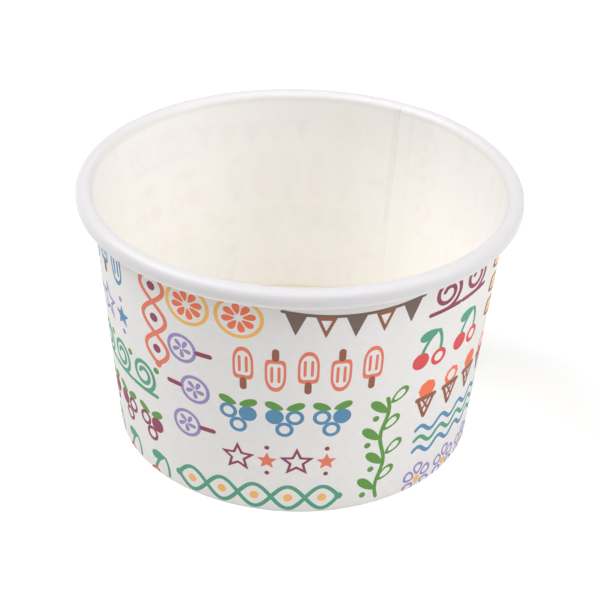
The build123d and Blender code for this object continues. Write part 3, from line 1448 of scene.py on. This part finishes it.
@dataclass
class PrintedDesign:
    """The printed design: strips of ornaments, one thin piece for each ink.

    Attributes:
        form: the cup.
        layer: thickness of the first ink that shows.
        layer_step: how much thicker each next ink is, so that no two lie level.
        root: how far an ink reaches into the board.
        panels: panels in a turn.
        margin: degrees from the lap's cut edge to the first panel.
        lead: degrees before a panel's start in which its marks may begin.
        ghost: share of the ink's colour that shows through the board, partly the ink seen through the
            fibres and partly painted shade where the ink stops light passing through the wall.
        blur: how far the board spreads it, in millimetres.
        second_ply: share of it that the second ply of the lap hides.
        stroke_step: distance between the points along a stroke.
        ring_step: widest distance between the rings of a patch.
        strips: the strips of one panel.
    """

    form: CupForm
    layer: float = 0.016
    layer_step: float = 0.001
    root: float = 0.02
    panels: int = 2
    margin: float = 0.5
    lead: float = 20.0
    ghost: float = 0.034
    blur: float = 0.8
    second_ply: float = 0.7
    stroke_step: float = 0.24
    ring_step: float = 0.8
    strips: list[Strip] = field(default_factory=panel)

    def __post_init__(self) -> None:
        """Draw the panel's marks, and find where each panel starts."""
        self.marks = [mark for strip in self.strips for mark in strip.marks()]
        first = self.form.seam_azimuth - self.form.seam_degrees(self.form.seam_lap) + self.margin
        self.starts = [first + n * 360.0 / self.panels for n in range(self.panels)]

    def show_through(self, s: Array, azimuth: Array) -> Array:
        """What the print takes from the colour of the food side behind it: partly the ink seen through the
        board, partly painted shade where the ink stops light passing through the wall.

        A place's share of ink is a smooth step of how far it lies inside a mark's edge. A small
        part of the difference between white and the ink's colour is taken by that share, and
        less over the lap, where there are two plies.

        Args:
            s: distances along the printed side, one for each row.
            azimuth: azimuths in degrees, one for each column.

        Returns:
            Linear red, green and blue to take, for each row and column.
        """
        up = s - self.form.wall_zero
        taken = np.zeros((up.size, azimuth.size, 3))
        for start in self.starts:
            past_start = (azimuth - start + self.lead) % 360.0 - self.lead
            along = np.radians(past_start) * self.form.middle_radius
            for mark in self.marks:
                reach = mark.width / 2 + self.blur
                low, high = mark.path.min(0) - reach, mark.path.max(0) + reach
                rows = np.flatnonzero((up > low[1]) & (up < high[1]))
                columns = np.flatnonzero((along > low[0]) & (along < high[0]))
                if not rows.size or not columns.size:
                    continue
                spots = np.stack(np.meshgrid(along[columns], up[rows]), -1)
                cover = smooth_step(0.5 + mark.inside(spots) / (2 * self.blur))
                colour = 1.0 - np.array(linear(mark.ink.value)[:3])
                here = np.ix_(rows, columns)
                taken[here] = np.maximum(taken[here], self.ghost * cover[..., None] * colour)
        shown = 1.0 - self.second_ply * self.form.lapped(azimuth)
        return taken * shown[:, None]

    def _ends(self, mark: Mark) -> tuple[Array, Array]:
        """A stroke's path resampled, with the half widths that round its ends.

        Over the first and last half width the samples follow 1 minus the cosine of a quarter
        turn, and the half width follows its sine.

        Args:
            mark: an open stroke.

        Returns:
            Points along it and the half width at each.
        """
        half = mark.width / 2
        reach = np.concatenate([[0.0], np.cumsum(np.hypot(*np.diff(mark.path, axis=0).T))])
        sweep = np.radians(CAP_SWEEP)
        cap = half * (1.0 - np.cos(sweep))
        count = max(2, int((reach[-1] - 2 * half) / self.stroke_step))
        body = np.linspace(half, reach[-1] - half, count)
        s = np.concatenate([cap, body, reach[-1] - cap[::-1]])
        taper = np.concatenate([np.sin(sweep), np.ones(count), np.sin(sweep[::-1])])
        points = np.stack([np.interp(s, reach, axis) for axis in mark.path.T], -1)
        return points, half * taper

    def _on_sheet(self, flat: Array, lift: Array, start: float) -> Array:
        """Points of the flat panel laid on the printed side.

        The height on the panel is the distance up the wall. The distance along the panel is
        divided by the radius halfway up, so a panel keeps its share of the turn.

        Args:
            flat: points on the panel, with along and up on the last axis.
            lift: distance of each out of the surface.
            start: azimuth of the panel's left edge.

        Returns:
            Points with x, y and z on the last axis.
        """
        azimuth = start + np.degrees(flat[..., 0] / self.form.middle_radius)
        return self.form.printed_side(flat[..., 1] + self.form.wall_zero, azimuth, lift)

    def stroke(self, mark: Mark, start: float, layer: float) -> tuple[Array, Array]:
        """Closed bar of ink along a stroke.

        A flat four-cornered profile, as wide as the stroke, is carried along the path. Its
        side vector is the path's direction turned a quarter.

        Args:
            mark: the stroke.
            start: azimuth of its panel.
            layer: thickness of the ink.

        Returns:
            Points, and faces of four corners.
        """
        points, half = self._ends(mark)
        along = np.gradient(points, axis=0)
        along = along / np.hypot(along[:, 0], along[:, 1])[:, None]
        side = np.stack([-along[:, 1], along[:, 0]], -1) * half[:, None]
        flat = np.stack([points + side, points - side, points - side, points + side], 1)
        lift = np.broadcast_to([layer, layer, -self.root, -self.root], flat.shape[:2])
        verts = self._on_sheet(flat, lift, start).reshape(-1, 3)
        number = np.arange(len(verts)).reshape(-1, 4)
        ahead = np.roll(number, -1, 0)
        quads = np.stack([number, np.roll(number, -1, 1), np.roll(ahead, -1, 1), ahead], -1)
        caps = np.stack([number[0, ::-1], number[-1]])
        return verts, np.concatenate([quads[:-1].reshape(-1, 4), caps])

    def patch(self, mark: Mark, start: float, layer: float) -> tuple[Array, Array]:
        """Closed slab of ink inside an outline, full or with a hole.

        Its rings are the outline shrunk towards its own middle. A full slab's inmost rings
        shrink to one point on each side, and a hollow one's are joined by the hole's wall.

        Args:
            mark: the patch, round which every point can be seen from its middle.
            start: azimuth of its panel.
            layer: thickness of the ink.

        Returns:
            Points, and faces of four corners, of which two are one point in the fans.
        """
        middle = mark.path.mean(0)
        x, y = mark.path.T
        area = np.sum(x * np.roll(y, -1) - y * np.roll(x, -1))
        outline = mark.path if area > 0 else mark.path[::-1]
        n = len(outline)
        reach = (1.0 - mark.hollow) * np.max(np.hypot(*(outline - middle).T))
        rings = 1 + int(reach / self.ring_step)
        share = mark.hollow + (1.0 - mark.hollow) * np.arange(rings + 1) / rings
        top = share if mark.hollow else share[1:]
        share = np.concatenate([top, [1.0], [mark.hollow] if mark.hollow else []])
        lift = np.where(np.arange(len(share)) < len(top), layer, -self.root)[:, None]
        flat = middle + share[:, None, None] * (outline - middle)
        around = self._on_sheet(flat, np.broadcast_to(lift, flat.shape[:2]), start).reshape(-1, 3)
        number = np.arange(len(share) * n).reshape(-1, n)
        ahead = np.roll(number, -1, 1)
        below, below_ahead = np.roll(number, -1, 0), np.roll(ahead, -1, 0)
        quads = np.stack([number, below, below_ahead, ahead], -1)
        if mark.hollow:
            return around, quads.reshape(-1, 4)
        poles = self._on_sheet(np.stack([middle, middle]), np.array([layer, -self.root]), start)
        high, low = np.full(n, len(around)), np.full(n, len(around) + 1)
        upper_fan = np.stack([high, number[0], ahead[0], high], -1)
        lower_fan = np.stack([low, ahead[-1], number[-1], low], -1)
        faces = np.concatenate([quads[:-1].reshape(-1, 4), upper_fan, lower_fan])
        return np.concatenate([around, poles]), faces

    def build(self) -> list[bpy.types.Object]:
        """One piece for each ink, with every mark of that ink in every panel.

        Returns:
            The dressed pieces.
        """
        pieces = []
        for order, ink in enumerate(Ink):
            verts: list[Array] = []
            faces: list[list[int]] = []
            total, layer = 0, self.layer + self.layer_step * order
            for mark in (m for m in self.marks if m.ink is ink):
                shape = self.stroke if mark.width else self.patch
                for start in self.starts:
                    points, quads = shape(mark, start, layer)
                    verts.append(points)
                    faces += [q[:3] if q[0] == q[3] else q for q in (quads + total).tolist()]
                    total += len(points)
            if not verts:
                continue
            piece = new_piece(f"print_{ink.name.lower()}", np.concatenate(verts), faces, INK_CREASE)
            piece.data.materials.append(ink.finish.material())
            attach(piece, "root")
            pieces.append(piece)
        return pieces


@dataclass
class SideWall:
    """The printed sheet: rolled up, lapped, hemmed at the foot and rolled at the rim.

    Attributes:
        form: the cup.
        design: the printed design, which shows through on the food side.
        columns: columns of the mesh in an even turn.
        food_steps: steps of the mesh up the food side of the wall.
        food_finish: finish of the food side and of the roll.
        printed_finish: finish of the printed side.
    """

    form: CupForm
    design: PrintedDesign
    columns: int = 360
    food_steps: int = 72
    food_finish: PaperFinish = FOOD_SIDE
    printed_finish: PaperFinish = PRINTED_SIDE

    def __post_init__(self) -> None:
        """Set the rows on each side of the sheet and the columns round it."""
        self.food_rows = self.form.wall.samples({WALL_RUN: self.food_steps})
        self.printed_rows = self.form.wall.samples()
        self.azimuths = self.form.seam_columns(self.columns)

    def surface(self) -> tuple[Array, list[list[int]], Array]:
        """Closed skin of the sheet.

        Its profile goes along the food side and back along the printed side, and is carried
        round the axis through the columns.

        Returns:
            Points, faces, and for each face 0 on the food side and 1 on the printed side.
        """
        food = self.form.food_side(self.food_rows[:, None], self.azimuths)
        printed = self.form.printed_side(self.printed_rows[:, None], self.azimuths)
        grid = np.concatenate([food, printed[::-1]])
        rows, cols = grid.shape[:2]
        number = np.arange(rows * cols).reshape(rows, cols)
        below, right = np.roll(number, -1, 0), np.roll(number, -1, 1)
        quads = np.stack([number, below, np.roll(below, -1, 1), right], -1)
        side = np.repeat(np.arange(rows) >= len(food) - 1, cols)
        return grid.reshape(-1, 3), quads.reshape(-1, 4).tolist(), side.astype(np.int32)

    def painted_light_and_ghost(self) -> dict[str, Array]:
        """What the mesh keeps at its points.

        Returns:
            For each attribute's name its values, in the order of the skin's points: the seam's
            painted shade, painted highlight and dark lines, and the print that shows through, on the
            food side only, and the share of the rim's colour, a painted shade of the roll, on both sides.
        """
        seam_light = self.form.seam_painted_light(self.food_rows[:, None], self.azimuths)
        ghost = self.design.show_through(self.food_rows, self.azimuths)
        bare = np.zeros((len(self.printed_rows), len(self.azimuths)))
        rows = np.concatenate([self.food_rows, self.printed_rows[::-1]])
        return {
            SEAM_PAINTED_LIGHT: np.concatenate([seam_light, bare]),
            SHOW_THROUGH: np.concatenate([ghost, np.repeat(bare[..., None], 3, -1)]),
            ROLL_SHADE_AND_COAT: self.form.roll_shade_and_coat(rows)[:, None] + 0.0 * self.azimuths,
        }

    def build(self) -> bpy.types.Object:
        """The dressed wall, in place of its CAD node.

        Returns:
            The piece.
        """
        verts, faces, side = self.surface()
        piece = new_piece("wall_sheet", verts, faces, BOARD_CREASE)
        for name, values in self.painted_light_and_ghost().items():
            kind, slot = ("FLOAT", "value") if values.ndim == 2 else ("FLOAT_VECTOR", "vector")
            piece.data.attributes.new(name, kind, "POINT").data.foreach_set(slot, values.ravel())
        piece.data.materials.append(self.food_finish.material())
        piece.data.materials.append(self.printed_finish.material())
        piece.data.polygons.foreach_set("material_index", side)
        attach(piece, "root")
        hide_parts("side_wall")
        return piece


@dataclass
class BaseDisc:
    """The base: a disc with its edge turned down between the wall and the hem.

    Attributes:
        form: the cup.
        columns: columns of the mesh in a turn.
        sag: how far its middle hangs, in millimetres.
        finish: its finish on both sides, darker and warmer than the wall's: a painted shade.
    """

    form: CupForm
    columns: int = 240
    sag: float = 0.25
    finish: PaperFinish = SHADED_BASE_BOARD

    def surface(self) -> tuple[Array, list[list[int]]]:
        """Closed skin of the disc.

        The profile goes out along the upper side and back along the underside. The flat part
        sags most in the middle, by a squared cosine of the radius.

        Returns:
            Points and faces, with a fan of triangles at each pole.
        """
        section = self.form.base_section()
        s = section.samples()[1:, None]
        azimuth = np.arange(self.columns)[None, :] * 360.0 / self.columns
        r, z, out_r, out_z = section.printed(s)
        flat = section.starts[BASE_FOLD].r
        z = z - self.sag * np.cos(np.pi / 2 * np.minimum(r / flat, 1.0)) ** 2
        board = self.form.board
        upper = self.form.place(r - board * out_r, z - board * out_z, azimuth)
        under = self.form.place(r, z, azimuth)
        grid = np.concatenate([upper, under[::-1]])
        rows, cols = grid.shape[:2]
        middle = self.form.base_height - self.sag
        poles = np.array([[0.0, 0.0, middle], [0.0, 0.0, middle - board]])
        number = np.arange(rows * cols).reshape(rows, cols)
        right = np.roll(number, -1, 1)
        quads = np.stack([number[:-1], number[1:], right[1:], right[:-1]], -1).reshape(-1, 4)
        top = np.stack([np.full(cols, rows * cols), number[0], right[0]], -1)
        bottom = np.stack([np.full(cols, rows * cols + 1), right[-1], number[-1]], -1)
        verts = np.concatenate([grid.reshape(-1, 3), poles])
        return verts, quads.tolist() + top.tolist() + bottom.tolist()

    def build(self) -> bpy.types.Object:
        """The dressed base, in place of its CAD node.

        Returns:
            The piece.
        """
        piece = new_piece("base_sheet", *self.surface(), BOARD_CREASE)
        piece.data.materials.append(self.finish.material())
        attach(piece, "root")
        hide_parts("base_disc")
        return piece


@dataclass(frozen=True)
class Softbox:
    """A square lamp that faces the cup.

    Attributes:
        name: the lamp's name.
        place: where it hangs, in metres.
        side: length of its side, in metres.
        watts: its power.
        aim: the point that it faces, in metres.
    """

    name: str
    place: tuple[float, float, float]
    side: float
    watts: float
    aim: tuple[float, float, float] = (0.0, 0.0, 0.025)

    def hang(self) -> bpy.types.Object:
        """The lamp, turned to its aim.

        Returns:
            The linked object.
        """
        lamp = bpy.data.lights.new(self.name, "AREA")
        lamp.shape, lamp.size, lamp.energy = "SQUARE", self.side, self.watts
        holder = bpy.data.objects.new(self.name, lamp)
        bpy.context.scene.collection.objects.link(holder)
        holder.location = self.place
        beam = Vector(self.aim) - Vector(self.place)
        holder.rotation_euler = beam.to_track_quat("-Z", "Y").to_euler()
        return holder


@dataclass
class Studio:
    """White floor, soft light and the camera, in millimetres and degrees.

    Attributes:
        elevation: degrees the camera looks down.
        roll: degrees it is turned about its own axis.
        distance: from the aim point to the camera.
        focal_px: focal length, in pixels of a square frame.
        frame_px: the frame's side, in pixels.
        centre_px: where the aim point is in the frame.
        aim: height of the aim point on the cup's axis.
        ambient: strength of the surround's light.
        bounce: share of the light that the floor throws back.
        glow: strength of the floor's own white near the cup, as the camera sees it.
        glow_from: distance from the cup's axis at which it starts to rise to full white.
        glow_to: distance at which it is full.
        floor_half: half the floor's side.
        floor_gap: how far the floor lies under the foot.
        lamps: the lamps.
    """

    elevation: float = 31.22
    roll: float = 1.70
    distance: float = 331.4
    focal_px: float = 1676.2
    frame_px: float = 600.0
    centre_px: tuple[float, float] = (296.9, 296.0)
    aim: float = 26.1
    ambient: float = 0.005
    bounce: float = 0.82
    glow: float = 0.26
    glow_from: float = 250.0
    glow_to: float = 800.0
    floor_half: float = 3000.0
    floor_gap: float = 0.05
    lamps: tuple[Softbox, ...] = (
        Softbox("left_high_box", (-0.6, 0.0, 0.75), 0.7, 7.35),
        Softbox("front_top_box", (0.0, -0.6, 0.85), 0.8, 2.7),
        Softbox("front_right_box", (0.45, -0.45, 0.8), 0.7, 1.7),
        Softbox("right_high_box", (0.6, 0.0, 0.75), 0.7, 2.1),
        Softbox("right_box", (0.84, -0.3, 0.41), 0.7, 3.4),
    )

    def camera(self) -> None:
        """Set the camera: its axes come from the elevation, then turn by the roll."""
        e, t = math.radians(self.elevation), math.radians(self.roll)
        back = Vector((0.0, -math.cos(e), math.sin(e)))
        right = Vector((1.0, 0.0, 0.0))
        up = back.cross(right)
        across = math.cos(t) * right + math.sin(t) * up
        upward = math.cos(t) * up - math.sin(t) * right
        place = (back * self.distance + Vector((0.0, 0.0, self.aim))) * MM
        lens_data = bpy.data.cameras.new("camera")
        lens_data.sensor_width = SENSOR_MM
        lens_data.lens = SENSOR_MM * self.focal_px / self.frame_px
        lens_data.shift_x = 0.5 - self.centre_px[0] / self.frame_px
        lens_data.shift_y = self.centre_px[1] / self.frame_px - 0.5
        lens_data.clip_start = 10.0 * MM
        holder = bpy.data.objects.new("camera", lens_data)
        bpy.context.scene.collection.objects.link(holder)
        axes = Matrix((across, upward, back)).transposed().to_4x4()
        holder.matrix_world = Matrix.Translation(place) @ axes
        bpy.context.scene.camera = holder

    @staticmethod
    def seen(tree: bpy.types.NodeTree) -> Socket:
        """What the camera sees, also in gloss and through glass, against other light.

        Args:
            tree: the node tree that gets the nodes.

        Returns:
            1 for what is seen and 0 for other light.
        """
        path = tree.nodes.new("ShaderNodeLightPath")
        share = path.outputs["Is Camera Ray"]
        for name in ("Is Glossy Ray", "Is Transmission Ray"):
            either = tree.nodes.new("ShaderNodeMath")
            either.operation = "MAXIMUM"
            tree.links.new(share, either.inputs[0])
            tree.links.new(path.outputs[name], either.inputs[1])
            share = either.outputs["Value"]
        return share

    def floor(self) -> None:
        """Lay a white floor that keeps the cup's shadow and is plain white further out."""
        square = np.array([[-1, -1], [1, -1], [1, 1], [-1, 1]]) * self.floor_half
        verts = np.column_stack([square, np.full(len(square), -self.floor_gap)])
        floor = new_piece("floor", verts, [[0, 1, 2, 3]], BOARD_CREASE)
        sheet = NodeSheet("floor_white")
        sheet.shader.inputs["Roughness"].default_value = 1.0
        sheet.shader.inputs["Specular IOR Level"].default_value = 0.0
        seen = self.seen(sheet.material.node_tree)
        sheet.put(sheet.ramp(seen, 0.0, 1.0, self.bounce, 1.0), "Base Color")
        away = sheet.nodes.new("ShaderNodeVectorMath")
        away.operation = "LENGTH"
        sheet.links.new(sheet.place, away.inputs[0])
        near, far = self.glow_from * MM, self.glow_to * MM
        white = sheet.ramp(away.outputs["Value"], near, far, self.glow, 1.0, smooth=True)
        glow = sheet.nodes.new("ShaderNodeMath")
        glow.operation = "MULTIPLY"
        sheet.links.new(seen, glow.inputs[0])
        sheet.links.new(white, glow.inputs[1])
        sheet.shader.inputs["Emission Color"].default_value = (1.0, 1.0, 1.0, 1.0)
        sheet.put(glow.outputs["Value"], "Emission Strength")
        floor.data.materials.append(sheet.material)

    def surround(self) -> None:
        """Set the world: white to the camera and in gloss, and a plain soft light otherwise."""
        world = bpy.data.worlds.new("surround")
        bpy.context.scene.world = world
        world.use_nodes = True
        tree = world.node_tree
        background = tree.nodes["Background"]
        level = tree.nodes.new("ShaderNodeMapRange")
        level.inputs["To Min"].default_value = self.ambient
        level.inputs["To Max"].default_value = 1.0
        tree.links.new(self.seen(tree), level.inputs["Value"])
        background.inputs["Color"].default_value = (1.0, 1.0, 1.0, 1.0)
        tree.links.new(level.outputs["Result"], background.inputs["Strength"])

    def build(self) -> None:
        """Light the cup, lay the floor and set the camera."""
        bpy.context.scene.view_settings.view_transform = "Standard"
        self.surround()
        self.floor()
        for lamp in self.lamps:
            lamp.hang()
        self.camera()


def main() -> None:
    """Build the pieces in order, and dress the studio."""
    logging.basicConfig(level=logging.INFO, format="%(name)s: %(message)s")
    form = CupForm()
    design = PrintedDesign(form)
    pieces = [SideWall(form, design).build(), BaseDisc(form).build(), *design.build()]
    for piece in pieces:
        LOG.info("%s: %d faces", piece.name, len(piece.data.polygons))
    Studio().build()
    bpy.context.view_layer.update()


if __name__ == "__main__":
    main()
